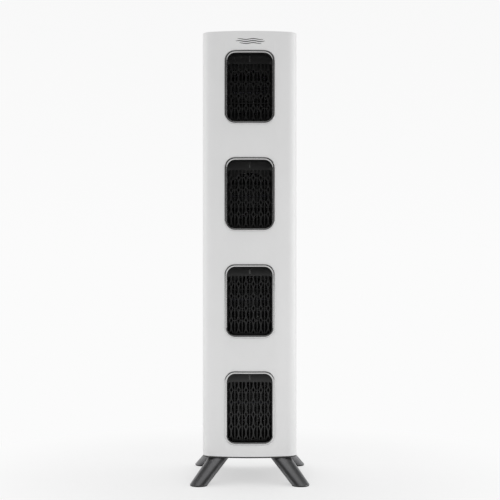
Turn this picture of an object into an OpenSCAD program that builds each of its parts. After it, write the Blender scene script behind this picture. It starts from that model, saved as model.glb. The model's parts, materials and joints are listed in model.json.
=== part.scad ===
// Tower air purifier: one air column with four outlets, on four splayed legs.
// +Z is up, the front faces -Y, and the origin is on the floor at the middle.

/* [Body] */
// Width of the body
body_w = 214; // [206:1:222]
// Depth of the body at the middle
body_d = 210; // [208:1:214]
// Height of the outer shell
body_h = 960; // [955:1:970]
// Wall thickness of the outer shell
wall = 3; // [2.5:0.5:3]
// Radius of the bowed front
front_r = 340; // [320:5:380]
// Radius of the two front corners
corner_r = 27; // [24:1:30]
// Radius of the two rear corners
rear_r = 10; // [8:1:10]

/* [Legs] */
// Height of the base plate's underside above the floor
leg_h = 57; // [50:1:65]
// Radius of a leg where it meets the base plate
leg_top_r = 23.5; // [22:0.5:24]
// Radius of a leg at the floor
leg_foot_r = 20.5; // [18:0.5:21]
// Leg's sideways distance from the middle, at its top
leg_top_x = 68.5; // [66:0.5:70]
// Leg's front-to-back distance from the middle, at its top
leg_top_y = 72; // [70:1:72]
// How far a foot stands out sideways past the leg's top
splay_x = 45; // [35:1:50]
// How far a foot stands out to the front or back past the leg's top
splay_y = 54; // [40:1:58]
// Thickness of the rubber pads
pad_t = 2.5; // [2:0.5:4]

/* [Windows] */
// Clear width of a window
window_w = 102.6; // [101:0.2:103]
// Clear height of a window
window_h = 154.8; // [153:0.2:156]
// Radius of the clear corners
window_r = 18.5; // [16:0.5:20]
// Distance between two windows' middles
window_pitch = 241.3; // [240:0.1:242]
// Drop from the top edge to the first window's middle
window_drop = 126.4; // [124:0.2:128]
// Width of the trim ring's band
ring_band = 6.1; // [5:0.1:6.5]
// How far the ring stands proud of the front
ring_proud = 2.2; // [1.5:0.1:3]
// Depth from the front to the grille
recess = 24; // [22:1:26]

/* [Grille] */
// Distance between two straight ribs
rib_pitch = 16.9; // [16.5:0.1:17]
// Distance between two rows of small eyes
eye_pitch = 27.7; // [26:0.1:29]
// Thickness of a rib
rib_t = 2.3; // [2:0.1:2.6]
// Thickness of the grille plate
grille_t = 3; // [2.5:0.5:3]
// Plain band above the first holes
top_band = 20.7; // [18:0.1:22]

/* [Fans] */
// Side of the square fan frame
fan_w = 120; // [119:1:120]
// Depth of a fan
fan_d = 25; // [25:1:27]
// Radius of the fan's throat
throat_r = 56.5; // [56:0.5:57]
// Number of blades
blades = 9; // [7:2:11]
// Pitch angle of a blade
blade_angle = 38; // [32:1:42]

/* [Rear door] */
// Width of the door opening
door_w = 172; // [171:1:173]
// Gap round the door
door_gap = 0.5; // [0.5:0.1:0.8]
// Number of intake slots in each field
slots = 11; // [9:1:11]
// Length of one intake slot
slot_l = 128; // [110:1:132]
// Height of one intake slot
slot_h = 4.4; // [3:0.2:5]

/* [Controls] */
// Radius of a push button
button_r = 7.5; // [6:0.5:8]
// Distance between two buttons
button_pitch = 24; // [22:1:26]
// Travel of a button
button_travel = 1.2; // [0.8:0.1:1.4]
// Tilt of the power rocker to each side
rocker_tilt = 8; // [6:1:8]

/* [Hidden] */
$fn = 96;
BUTTONS = ["button_power", "button_speed", "button_mode", "button_timer"];
SIDES = [-1, 1];
EPS = 0.01;

// Plan of the body
base_t = 3;
shell_z = leg_h + base_t;
top_z = shell_z + body_h;
front_y = -body_d / 2;
rear_y = body_d / 2;
arc_y = front_y + front_r;
corner_x = body_w / 2 - corner_r;
corner_y = arc_y - sqrt(pow(front_r - corner_r, 2) - pow(corner_x, 2));
rear_x = body_w / 2 - rear_r;
// How far a corner's circle stands past the front's arc, so that the two cross
cross = 0.05;
// Where the rear panel meets the front shell
seam_y = rear_y - rear_r - 6;

// Windows, from the top one down
function window_z(k) = top_z - window_drop - k * window_pitch;
opening_w = window_w + 5.4;
opening_h = window_h + 5.2;
opening_r = window_r + 2.5;
neck_depth = wall + 2;
grille_y = front_y + recess;
well_gap = 0.4;
well_wall = 1.8;
duct_w = 116;
duct_h = 168;
duct_r = 8;
duct_wall = 2;
flange_w = 134;
flange_h = 178;
duct_screw_x = 62.5;
duct_screw_z = 60;
boss_r = 3.5;
pilot_r = 1.2;

// Chassis, fans and cells
sheet = 2;
bulkhead_y = -4;
flange_x = 87;
bay_y = 27;
fan_y = bulkhead_y + sheet;
fan_hole = 52.5;
fan_hub_r = 20;
shaft_r = 2;
shaft_fit = 0.05;
cell_h = 54;
cell_d = 14;
cell_w = 105;
lamp_r = 3;

// Filters and the rear door
door_z = shell_z + 44;
door_h = body_h - 64;
shelf_mid = door_z + door_h / 2 - 1;
cartridge_w = 160;
cartridge_h = door_h / 2 - 3;
cartridge_d = 50;
cartridge_y = bay_y + 3;
carbon_d = 8;
screen_y = cartridge_y + cartridge_d + carbon_d + 1;
hinge_x = -door_w / 2 - 2.5;
hinge_y = rear_y + 4;
hinge_l = 40;
knuckle_r = 3.6;
knuckle_gap = 0.4;
pin_r = 1.3;
hinge_zs = [door_z + 86, door_z + door_h / 2 - hinge_l / 2, door_z + door_h - 126];
magnet_zs = [door_z + 60, door_z + door_h - 90];

// Controls
cap_top = top_z - 0.5;
cap_t = 3.5;
cap_under = cap_top - cap_t;
panel_y = -22;
panel_floor = cap_top - 1.2;
button_y = -4;
button_gap = 0.3;
board_top = cap_under - 12;
switch_h = 4.3;
// A pressed button stops 0.5 above its switch
plunger_z = board_top + switch_h + button_travel + 0.5;
rocker_x = 63;
inlet_x = 45;
inlet_z = shell_z + 22;
supply_d = 62;

// Where the cartridges stand, lower and upper
function bay_z(k) = k == 0 ? door_z : shelf_mid + sheet;

// ---------- shared outlines ----------

// The body's plan, moved inwards by i
module plan(i = 0) {
    side = body_w / 2 - i;
    rear_line = rear_y - rear_r;
    reach = 1.15;
    for (s = SIDES) {
        translate([s * corner_x, corner_y - cross]) circle(r = corner_r - i);
        translate([s * rear_x, rear_line]) circle(r = rear_r - i);
    }
    translate([-side, corner_y - cross]) square([2 * side, rear_line - corner_y + cross]);
    translate([-rear_x, 0]) square([2 * rear_x, rear_y - i]);
    intersection() {
        translate([0, arc_y]) circle(r = front_r - i, $fn = 360);
        polygon([
            [-corner_x, corner_y], [corner_x, corner_y],
            [corner_x * reach, arc_y + (corner_y - arc_y) * reach],
            [-corner_x * reach, arc_y + (corner_y - arc_y) * reach]
        ]);
    }
}

// Rounded rectangle about the origin
module rounded(w, h, r) {
    square([w - 2 * r, h], center = true);
    square([w, h - 2 * r], center = true);
    for (sx = SIDES, sy = SIDES)
        translate([sx * (w / 2 - r), sy * (h / 2 - r)]) circle(r = r);
}

// Slot with round ends, along X
module slot(l, h) {
    square([l - h, h], center = true);
    for (s = SIDES) translate([s * (l - h) / 2, 0]) circle(d = h);
}

// Stands a flat outline upright and extrudes it from y0 back to y1
module upright(y0, y1) {
    translate([0, y1, 0]) rotate([90, 0, 0]) linear_extrude(y1 - y0) children();
}

// Round bar along Y from y0 back to y1
module bar_y(r, y0, y1) {
    translate([0, y0, 0]) rotate([-90, 0, 0]) cylinder(r = r, h = y1 - y0);
}

// Ring of upright wall between two radii of the bowed front
module bow(outer, inner, h) {
    translate([0, arc_y, -h / 2]) difference() {
        cylinder(r = outer, h = h, $fn = 360);
        translate([0, 0, -1]) cylinder(r = inner, h = h + 2, $fn = 360);
    }
}

module box(lo, hi) {
    translate(lo) cube(hi - lo);
}

// ---------- casing ----------

module duct_screw_places() {
    for (k = [0:3], sx = SIDES, sz = SIDES)
        translate([sx * duct_screw_x, 0, window_z(k) + sz * duct_screw_z]) children();
}

module chassis_screw_places() {
    for (s = SIDES, z = [150, 420, 640, 820])
        translate([s * (flange_x + 5.5), 0, z]) children();
}

// Walls of the whole casing, before the front shell and the rear panel part
module casing() difference() {
    union() {
        translate([0, 0, shell_z]) linear_extrude(body_h) difference() {
            plan();
            plan(wall);
        }
        intersection() {
            translate([0, 0, shell_z]) linear_extrude(body_h) plan(1);
            duct_screw_places() bar_y(boss_r, front_y, grille_y);
        }
    }
    for (k = [0:3])
        translate([0, 0, window_z(k)])
            upright(front_y - 5, front_y + 14) rounded(opening_w, opening_h, opening_r);
    duct_screw_places() bar_y(pilot_r, grille_y - 8, grille_y + 1);
    translate([0, 0, door_z + door_h / 2])
        upright(rear_y - wall - 3, rear_y + 1) rounded(door_w, door_h, 5);
    translate([inlet_x, 0, inlet_z]) upright(rear_y - wall - 3, rear_y + 1) rounded(56.6, 26.6, 3);
    for (i = [0:5])
        translate([-70 + i * 6, 0, inlet_z]) upright(rear_y - wall - 3, rear_y + 1) rotate(90) slot(18, 2.4);
    chassis_screw_places() bar_y(1.7, rear_y - wall - 1, rear_y + 1);
}

module behind_seam() box([-body_w, seam_y, 0], [body_w, body_w, 2 * top_z]);

module outer_shell() color("white") difference() {
    casing();
    behind_seam();
}

module rear_panel() color("white") intersection() {
    casing();
    behind_seam();
}

module top_cap() color("white") difference() {
    union() {
        translate([0, 0, cap_under]) linear_extrude(cap_t) plan(wall + 0.4);
        translate([0, 0, cap_under - 8]) linear_extrude(8) difference() {
            plan(wall + 1);
            plan(wall + 3);
        }
        for (sx = SIDES, y = [-60, -22])
            translate([sx * 66, y, board_top]) cylinder(r = 3.2, h = cap_under - board_top);
    }
    translate([0, panel_y, panel_floor]) linear_extrude(5) rounded(124, 70, 14);
    for (i = [0:3])
        translate([(i - 1.5) * button_pitch, button_y, cap_under - 1])
            cylinder(r = button_r + button_gap, h = cap_t + 2);
}

module base_plate() color("dimgray") difference() {
    union() {
        translate([0, 0, leg_h]) linear_extrude(base_t) plan(0.8);
        translate([0, 0, shell_z]) linear_extrude(8) difference() {
            plan(wall + 0.4);
            plan(wall + 2.4);
        }
    }
    for (sx = SIDES, sy = SIDES)
        translate([sx * leg_top_x, sy * leg_top_y, leg_h - 1]) cylinder(r = 3.2, h = base_t + 2);
    for (sx = SIDES)
        translate([sx * 50, -14, leg_h - 1]) cylinder(r = 2.1, h = base_t + 2);
}

module leg(sx, sy) color("slategray") difference() {
    hull() {
        translate([sx * leg_top_x, sy * leg_top_y, leg_h - 0.5]) cylinder(r = leg_top_r, h = 0.5, $fn = 64);
        translate([sx * (leg_top_x + splay_x), sy * (leg_top_y + splay_y), pad_t])
            cylinder(r = leg_foot_r, h = 0.5, $fn = 64);
    }
    translate([sx * leg_top_x, sy * leg_top_y, leg_h - 16]) cylinder(r = 2.6, h = 17);
}

module foot_pads() color("black")
    for (sx = SIDES, sy = SIDES)
        translate([sx * (leg_top_x + splay_x), sy * (leg_top_y + splay_y), 0])
            cylinder(r = leg_foot_r - 1.2, h = pad_t);

module leg_screws() color("silver")
    for (sx = SIDES, sy = SIDES)
        translate([sx * leg_top_x, sy * leg_top_y, 0]) {
            translate([0, 0, leg_h - 12]) cylinder(r = 2.5, h = 12 + base_t + 1);
            translate([0, 0, shell_z]) difference() {
                cylinder(r = 5, h = 4);
                translate([0, 0, 1.6]) cylinder(r = 2.4, h = 3, $fn = 6);
            }
        }

// ---------- outlets ----------

module window_ring(k) color("lightgray") translate([0, 0, window_z(k)]) {
    intersection() {
        bow(front_r + ring_proud, front_r, window_h + 40);
        upright(front_y - 6, front_y + 14) difference() {
            rounded(window_w + 2 * ring_band, window_h + 2 * ring_band, window_r + ring_band);
            rounded(window_w, window_h, window_r);
        }
    }
    intersection() {
        bow(front_r + EPS, front_r - neck_depth, window_h + 40);
        upright(front_y - 6, front_y + 20) difference() {
            rounded(opening_w, opening_h, opening_r + 1);
            rounded(window_w, window_h, window_r);
        }
    }
}

// Outer edge of the waved ribs about an eye's middle, at height z from it
eye_half = 2.5;
eye_h = 5.6;
stem_half = 1.9;
wave_h = 11;
tie_t = 1.6;
function wave(z) = stem_half
    + (eye_half + rib_t - stem_half) * (1 + cos(180 * min(abs(z), wave_h) / wave_h)) / 2;

// Small pointed hole between the two waved ribs
module eye_hole() {
    n = 4;
    side = [for (i = [-n:n]) [eye_half * (1 + cos(180 * i / n)) / 2, eye_h * i / n]];
    back = [for (i = [n - 1:-1:1 - n]) [-eye_half * (1 + cos(180 * i / n)) / 2, eye_h * i / n]];
    polygon(concat(side, back));
}

// Long hole between a straight rib and a waved one, s tells the side
module long_hole(s) {
    half = eye_pitch / 2;
    n = 5;
    tip = half - tie_t / 2;
    edge = [for (i = [-n:n]) let (z = tip * i / n)
        [s * (rib_pitch / 2 - wave(half - abs(z))), z]];
    polygon(concat([[s * rib_t / 2, -tip]], edge, [[s * rib_t / 2, tip]]));
}

module grille_holes() {
    first = window_h / 2 - top_band - 18;
    columns = 3;
    intersection() {
        translate([0, (window_h / 2 - top_band - window_h / 2 + 3) / 2])
            rounded(window_w - 1, window_h - top_band - 3, 8);
        union() for (i = [-columns:columns - 1], row = [0:5]) {
            z = first - row * eye_pitch;
            if (row < 5) translate([(i + 0.5) * rib_pitch, z]) eye_hole();
            translate([i * rib_pitch, z + eye_pitch / 2]) long_hole(1);
            translate([(i + 1) * rib_pitch, z + eye_pitch / 2]) long_hole(-1);
        }
    }
}

module grille(k) color("#161616") translate([0, 0, window_z(k)]) {
    upright(grille_y, grille_y + grille_t) difference() {
        rounded(duct_w - 2 * duct_wall - 0.2, duct_h - 2 * duct_wall - 0.2, duct_r - duct_wall);
        grille_holes();
    }
}

module outlet_duct(k) color("#202020") translate([0, 0, window_z(k)]) {
    well_w = window_w + well_gap;
    well_h = window_h + well_gap;
    intersection() {
        translate([0, arc_y, -duct_h]) cylinder(r = front_r - neck_depth - 0.3, h = 2 * duct_h, $fn = 360);
        upright(front_y, grille_y) difference() {
            rounded(well_w + 2 * well_wall, well_h + 2 * well_wall, window_r + well_wall);
            rounded(well_w, well_h, window_r);
        }
    }
    difference() {
        union() {
            upright(grille_y - 1.5, grille_y) difference() {
                rounded(duct_w, duct_h, duct_r);
                rounded(well_w, well_h, window_r);
            }
            upright(grille_y - EPS, bulkhead_y) difference() {
                rounded(duct_w, duct_h, duct_r);
                rounded(duct_w - 2 * duct_wall, duct_h - 2 * duct_wall, duct_r - duct_wall);
            }
            upright(grille_y, grille_y + grille_t) difference() {
                rounded(flange_w, flange_h, duct_r);
                rounded(duct_w - 1, duct_h - 1, duct_r);
            }
        }
        for (sx = SIDES, sz = SIDES)
            translate([sx * duct_screw_x, 0, sz * duct_screw_z])
                bar_y(1.7, grille_y - 3, grille_y + grille_t + 1);
    }
}

module duct_screws() color("silver") duct_screw_places() {
    bar_y(pilot_r - 0.05, grille_y - 7, grille_y + grille_t + EPS);
    difference() {
        bar_y(2.8, grille_y + grille_t, grille_y + grille_t + 2);
        bar_y(1.2, grille_y + grille_t + 0.8, grille_y + grille_t + 3, $fn = 6);
    }
}

// ---------- air cells and fans ----------

module cell_frame(k) color("darkgray") translate([0, 0, window_z(k)]) difference() {
    upright(bulkhead_y - cell_d, bulkhead_y) rounded(cell_w, cell_h, 3);
    upright(bulkhead_y - cell_d + 4, bulkhead_y + 1) rounded(cell_w - 12, cell_h - 5, 2);
    for (i = [-5:5], j = [-2:2])
        translate([i * 8.4, 0, j * 9.6])
            upright(bulkhead_y - cell_d - 1, bulkhead_y - cell_d + 5) square([7, 8.2], center = true);
    translate([-cell_w / 2 + 2, bulkhead_y - 5, 0])
        rotate([0, 90, 0]) cylinder(r = lamp_r + 0.1, h = cell_w - 4);
}

module uv_lamps() color("lavender") for (k = [0:3])
    translate([-cell_w / 2 + 2.2, bulkhead_y - 5, window_z(k)]) rotate([0, 90, 0]) {
        cylinder(r = lamp_r - 0.4, h = cell_w - 4.4);
        for (x = [0, cell_w - 4.4 - 9]) translate([0, 0, x]) cylinder(r = lamp_r, h = 9);
    }

module fan_corner_places() {
    for (sx = SIDES, sz = SIDES) translate([sx * fan_hole, 0, sz * fan_hole]) children();
}

module fan_frame(k) color("#2a2a2c") translate([0, 0, window_z(k)]) {
    spider_t = 3.5;
    rear = fan_y + fan_d;
    difference() {
        union() {
            upright(fan_y, rear - spider_t) difference() {
                rounded(fan_w, fan_w, 6);
                circle(r = throat_r);
            }
            upright(rear - spider_t, rear) difference() {
                rounded(fan_w, fan_w, 6);
                difference() {
                    circle(r = throat_r);
                    circle(r = fan_hub_r + 1);
                    for (a = [45, 135]) rotate(a) square([2 * fan_w, 4], center = true);
                }
            }
        }
        bar_y(shaft_r + shaft_fit, rear - spider_t - 1, rear + 1);
        fan_corner_places() bar_y(2.2, fan_y - 1, rear + 1);
    }
}

module fan_rotor(k) color("#3a3a3e") translate([0, 0, window_z(k)]) {
    hub_front = fan_y + 2.5;
    hub_rear = fan_y + fan_d - 3.8;
    bar_y(fan_hub_r, hub_front, hub_rear);
    bar_y(shaft_r, hub_rear - EPS, fan_y + fan_d - 0.6);
    intersection() {
        difference() {
            bar_y(throat_r - 1.5, hub_front + 0.5, hub_rear - 0.2);
            bar_y(fan_hub_r - 1, hub_front - 1, hub_rear + 1);
        }
        for (i = [0:blades - 1])
            rotate([0, i * 360 / blades, 0]) translate([0, (hub_front + hub_rear) / 2, 0])
                rotate([0, 0, blade_angle]) box([-14, -0.9, 0], [14, 0.9, throat_r]);
    }
}

module fan_screws() color("silver") for (k = [0:3]) translate([0, 0, window_z(k)]) fan_corner_places() {
    bar_y(1.9, bulkhead_y - 2, fan_y + fan_d + EPS);
    difference() {
        bar_y(3.9, fan_y + fan_d, fan_y + fan_d + 2.2);
        bar_y(1.5, fan_y + fan_d + 1, fan_y + fan_d + 3, $fn = 6);
    }
}

module chassis() color("lightsteelblue") difference() {
    low = shell_z + sheet;
    high = top_z - 19;
    union() {
        box([-flange_x - sheet, bulkhead_y, low - sheet], [flange_x + sheet, fan_y, high]);
        box([-80, bulkhead_y - 22, low - sheet], [80, bulkhead_y + 1, low]);
        for (s = SIDES) {
            mirror([s < 0 ? 1 : 0, 0, 0]) {
                box([flange_x, bulkhead_y, low + 40], [flange_x + sheet, rear_y - wall, high]);
                box([flange_x, rear_y - wall - sheet, low + 40], [flange_x + 9, rear_y - wall, high - 4]);
                box([72, bay_y, door_z - sheet], [flange_x + EPS, bay_y + sheet, door_z + door_h + sheet]);
            }
        }
        for (z = [door_z - sheet, door_z + door_h])
            box([-flange_x - EPS, bay_y, z], [flange_x + EPS, rear_y - wall - sheet, z + sheet]);
        box([-flange_x - EPS, bay_y, shelf_mid], [flange_x + EPS, screen_y - 0.5, shelf_mid + sheet]);
    }
    for (k = [0:3]) translate([0, 0, window_z(k)]) {
        bar_y(55, bulkhead_y - 1, fan_y + 1);
        fan_corner_places() bar_y(1.95, bulkhead_y - 1, fan_y + 1);
    }
    box([62, bulkhead_y - 1, high - 12], [72, fan_y + 1, high + 1]);
    for (sx = SIDES) translate([sx * 50, -14, low - sheet - 1]) cylinder(r = 2.1, h = 4);
    chassis_screw_places() bar_y(1.25, rear_y - wall - sheet - 1, rear_y - wall + 1);
}

module chassis_screws() color("silver") {
    chassis_screw_places() {
        bar_y(1.2, rear_y - wall - sheet - 3, rear_y + EPS);
        difference() {
            bar_y(3.2, rear_y, rear_y + 1.6);
            bar_y(1.3, rear_y + 0.6, rear_y + 3, $fn = 6);
        }
    }
    for (sx = SIDES) translate([sx * 50, -14, leg_h]) {
        cylinder(r = 2, h = base_t + sheet + EPS);
        translate([0, 0, base_t + sheet]) cylinder(r = 4, h = 2.4);
    }
}

// ---------- filters ----------

module filter_frames() color("whitesmoke") for (k = [0, 1]) {
    lo = [-cartridge_w / 2, cartridge_y, bay_z(k)];
    t = 4;
    difference() {
        box(lo, lo + [cartridge_w, cartridge_d, cartridge_h]);
        box(lo + [t, -1, t], lo + [cartridge_w - t, cartridge_d + 1, cartridge_h - t]);
    }
}

module filter_pleats() color("ivory") for (k = [0, 1]) {
    t = 1.2;
    n = 19;
    w = (cartridge_w - 8) / n;
    near = cartridge_y + 5;
    far = cartridge_y + cartridge_d - 5 - t;
    fold = [for (i = [0:n]) [-cartridge_w / 2 + 4 + i * w, i % 2 == 0 ? near : far]];
    back = [for (i = [n:-1:0]) fold[i] + [0, t * 1.6]];
    translate([0, 0, bay_z(k) + 4]) linear_extrude(cartridge_h - 8) polygon(concat(fold, back));
}

module carbon_panels() color("#2b2d30") for (k = [0, 1]) {
    lo = [-cartridge_w / 2, cartridge_y + cartridge_d, bay_z(k)];
    nx = 6;
    nz = 16;
    px = (cartridge_w - 6) / nx;
    pz = (cartridge_h - 6) / nz;
    difference() {
        box(lo, lo + [cartridge_w, carbon_d, cartridge_h]);
        for (i = [0:nx - 1], j = [0:nz - 1])
            translate(lo + [4.5 + i * px, -1, 4.5 + j * pz]) cube([px - 3, carbon_d + 2, pz - 3]);
    }
}

module prefilter_screen() color("gray") {
    w = cartridge_w;
    y0 = screen_y;
    nz = 12;
    pz = (door_h - 4) / nz;
    box([-w / 2 + 2, y0 + 1, door_z + 2], [w / 2 - 2, y0 + 1.6, door_z + door_h - 4]);
    difference() {
        box([-w / 2, y0, door_z], [w / 2, y0 + 3, door_z + door_h - 2]);
        for (s = SIDES, j = [0:nz - 1])
            translate([s * w / 4, y0 - 1, door_z + 4 + j * pz])
                translate([-w / 4 + 3, 0, 0]) cube([w / 2 - 6, 5, pz - 5]);
    }
}

// ---------- rear door ----------

module rear_door() color("white") difference() {
    w = door_w - 2 * door_gap;
    h = door_h - 2 * door_gap;
    union() {
        translate([0, 0, door_z + door_h / 2]) {
            upright(rear_y - wall, rear_y) rounded(w, h, 4.5);
            upright(rear_y - wall - 6.6, rear_y - wall + EPS) difference() {
                rounded(w - 6, h - 6, 3);
                rounded(w - 10, h - 10, 1.5);
            }
        }
        for (z = magnet_zs)
            box([door_w / 2 - 9, rear_y - wall - 6.6, z], [door_w / 2 - 2, rear_y - wall + EPS, z + 30]);
        translate([door_w / 2 - 9, rear_y - EPS, door_z + door_h / 2 - 30]) cube([4, 9 + EPS, 60]);
        for (z = hinge_zs) translate([hinge_x, hinge_y, z + 12 + knuckle_gap]) {
            tall = hinge_l - 24 - 2 * knuckle_gap;
            cylinder(r = knuckle_r, h = tall);
            box([0, -knuckle_r, 0], [9, -1.6, tall]);
            box([3.2, -knuckle_r - 1, 0], [16, -2.4, tall]);
        }
    }
    for (z = hinge_zs) translate([hinge_x, hinge_y, z]) cylinder(r = pin_r + 0.05, h = hinge_l);
    for (k = [0:3], i = [0:slots - 1])
        translate([0, 0, window_z(k) + (i - (slots - 1) / 2) * 10])
            upright(rear_y - wall - 1, rear_y + 1) slot(slot_l, slot_h);
}

module door_strikes() color("silver") for (z = magnet_zs)
    box([door_w / 2 - 9, rear_y - wall - 7.8, z + 2], [door_w / 2 - 2, rear_y - wall - 6.6, z + 28]);

module door_magnets() color("#333333") for (z = magnet_zs)
    box([cartridge_w / 2 + 1, rear_y - wall - 17, z + 1], [flange_x, rear_y - wall - 8.3, z + 29]);

module hinge_leaves() color("silver") for (z = hinge_zs) translate([hinge_x, hinge_y, z]) difference() {
    union() {
        for (z0 = [0, hinge_l - 12]) translate([0, 0, z0]) {
            cylinder(r = knuckle_r, h = 12);
            box([-knuckle_r, rear_y - hinge_y, 0], [0, 0, 12]);
            box([-8, rear_y - hinge_y, 0], [0, rear_y - hinge_y + 1.2, 12]);
        }
        box([-8, rear_y - hinge_y, 0], [-knuckle_r - knuckle_gap, rear_y - hinge_y + 1.2, hinge_l]);
    }
    translate([0, 0, -1]) cylinder(r = pin_r, h = hinge_l + 2);
}

module hinge_pins() color("darkgray") for (z = hinge_zs)
    translate([hinge_x, hinge_y, z - 0.8]) cylinder(r = pin_r, h = hinge_l + 1.6);

// ---------- controls and electrics ----------

module display_lens() color("#101418")
    translate([0, panel_y - 14, panel_floor]) linear_extrude(1.4) rounded(104, 24, 6);

module button(i) color("whitesmoke") translate([(i - 1.5) * button_pitch, button_y, 0]) {
    face_h = panel_floor + 1.5 - cap_under + button_gap;
    translate([0, 0, cap_under - button_gap - EPS]) cylinder(r = button_r, h = face_h + EPS);
    translate([0, 0, cap_under - button_gap - 1.8]) cylinder(r = button_r + 1.8, h = 1.8);
    translate([0, 0, plunger_z]) cylinder(r = 2.5, h = 5);
}

module control_board() color("darkgreen") {
    box([-75, -70, board_top - 1.6], [75, -14 + EPS, board_top]);
    box([-48, -14, board_top - 1.6], [48, 6, board_top]);
    for (i = [0:3]) translate([(i - 1.5) * button_pitch, button_y, board_top - EPS]) {
        box([-3, -3, 0], [3, 3, 3.5]);
        cylinder(r = 1.6, h = switch_h);
    }
    box([-34, -52, board_top - EPS], [34, -38, board_top + 6]);
}

module power_inlet() color("#1b1b1b") translate([inlet_x, 0, inlet_z]) difference() {
    union() {
        upright(rear_y, rear_y + 2) rounded(64, 32, 4);
        upright(rear_y - 25, rear_y + EPS) rounded(56, 26, 2.5);
    }
    translate([-12, 0, 0]) upright(rear_y - 16, rear_y + 3) rounded(24.4, 16.6, 3.5);
    translate([rocker_x - inlet_x, 0, 0]) {
        upright(rear_y - 16, rear_y + 3) square([16, 22.8], center = true);
        translate([-10.1, rear_y - 5, 0]) rotate([0, 90, 0]) cylinder(r = 1.55, h = 20.2);
    }
}

module inlet_pins() color("gold") translate([inlet_x - 12, 0, inlet_z])
    for (p = [[-7, -1.5], [0, 2], [7, -1.5]])
        box([p[0] - 1, rear_y - 16, p[1] - 2], [p[0] + 1, rear_y - 4.5, p[1] + 2]);

module power_rocker() color("#2b2b2b")
    translate([rocker_x, rear_y - 5, inlet_z]) rotate([-rocker_tilt, 0, 0]) {
        face = [[-1.5, -5], [6.5, -10], [5.4, 0], [6.5, 10], [-1.5, 5]];
        translate([-7.6, 0, 0]) rotate([90, 0, 90]) linear_extrude(15.2) polygon(face);
        translate([-9.8, 0, 0]) rotate([0, 90, 0]) cylinder(r = 1.5, h = 19.6);
    }

module power_supply() color("silver") difference() {
    box([-70, 0, shell_z], [70, supply_d, shell_z + 28]);
    for (i = [-5:5]) box([i * 11 - 3, 20, shell_z + 26.8], [i * 11 + 3, 50, shell_z + 29]);
}

module air_sensor() color("seagreen") difference() {
    box([-76, rear_y - wall - 22, shell_z + 9], [-34, rear_y - wall, shell_z + 36]);
    for (i = [0:5])
        translate([-70 + i * 6, 0, inlet_z])
            upright(rear_y - wall - 5, rear_y - wall + 1) square([2.4, 14], center = true);
}

module wiring_loom() color("#444444") {
    supply_top = shell_z + 28;
    box([64, 0, supply_top], [70, 4, top_z - 24]);
    box([64, -20, top_z - 28], [70, 4, top_z - 24 + EPS]);
    box([64, -20, top_z - 24], [70, -15, board_top - 1.6]);
    for (k = [0:3]) box([fan_w / 2, 0.5, window_z(k) - 2], [64 + EPS, 3.5, window_z(k) + 2]);
    box([30, supply_d, shell_z + 14], [50, rear_y - 25, shell_z + 20]);
}

// ---------- nodes ----------

outer_shell();
rear_panel();
top_cap();
base_plate();
leg(-1, -1);  // leg_front_left
leg(1, -1);  // leg_front_right
leg(-1, 1);  // leg_rear_left
leg(1, 1);  // leg_rear_right
foot_pads();
leg_screws();
for (k = [0:3]) {
    window_ring(k);
    grille(k);
    outlet_duct(k);
    cell_frame(k);
    fan_frame(k);
    fan_rotor(k);
    button(k);
}
duct_screws();
uv_lamps();
chassis();
chassis_screws();
fan_screws();
filter_frames();
filter_pleats();
carbon_panels();
prefilter_screen();
rear_door();
door_strikes();
hinge_leaves();
hinge_pins();
door_magnets();
display_lens();
control_board();
power_inlet();
inlet_pins();
power_rocker();
power_supply();
air_sensor();
wiring_loom();
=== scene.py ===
import json
import math

import bmesh
import bpy
from mathutils import Matrix, Vector

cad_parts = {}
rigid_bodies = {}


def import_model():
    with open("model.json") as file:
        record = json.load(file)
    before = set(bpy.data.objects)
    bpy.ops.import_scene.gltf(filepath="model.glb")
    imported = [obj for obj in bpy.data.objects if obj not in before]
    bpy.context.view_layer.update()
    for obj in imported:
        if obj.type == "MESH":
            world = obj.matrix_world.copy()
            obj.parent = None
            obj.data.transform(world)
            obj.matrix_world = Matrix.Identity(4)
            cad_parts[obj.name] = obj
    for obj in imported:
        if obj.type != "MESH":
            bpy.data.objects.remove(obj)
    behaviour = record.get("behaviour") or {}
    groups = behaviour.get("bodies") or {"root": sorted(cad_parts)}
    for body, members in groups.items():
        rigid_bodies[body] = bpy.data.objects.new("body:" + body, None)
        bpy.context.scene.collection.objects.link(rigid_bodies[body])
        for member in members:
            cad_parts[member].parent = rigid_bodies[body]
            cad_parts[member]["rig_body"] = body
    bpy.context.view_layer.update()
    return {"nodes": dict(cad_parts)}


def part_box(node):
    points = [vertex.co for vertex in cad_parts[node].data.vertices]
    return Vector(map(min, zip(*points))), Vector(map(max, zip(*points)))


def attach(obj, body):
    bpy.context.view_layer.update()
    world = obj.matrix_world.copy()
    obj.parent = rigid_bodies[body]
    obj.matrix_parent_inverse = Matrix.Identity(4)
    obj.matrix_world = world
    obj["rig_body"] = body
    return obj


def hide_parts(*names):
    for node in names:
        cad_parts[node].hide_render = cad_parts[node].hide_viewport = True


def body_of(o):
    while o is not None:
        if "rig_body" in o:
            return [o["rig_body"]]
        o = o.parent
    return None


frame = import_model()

scene = bpy.context.scene
scene.view_settings.view_transform = "Standard"

# ---------- camera ----------
# It stands straight in front of the body, at half its height, with a long lens.
# The level of the picture is set with a small shift, so that uprights stay upright.


def mm(*values):
    """Millimetres in the row frame to metres."""
    return Vector(values) * 0.001


camera = bpy.data.cameras.new("camera")
camera.lens = 82.8
camera.sensor_width = 36
camera.shift_y = 0.01
viewer = bpy.data.objects.new("camera", camera)
viewer.location = mm(0.7, -2695, 515)
viewer.rotation_euler = (math.radians(90), 0, 0)
scene.collection.objects.link(viewer)
scene.camera = viewer

# ---------- studio ----------
# A pale floor that fades into an even white surround a short way from the object.
# Light comes evenly from all round, with a soft panel overhead and one at each side.


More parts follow.
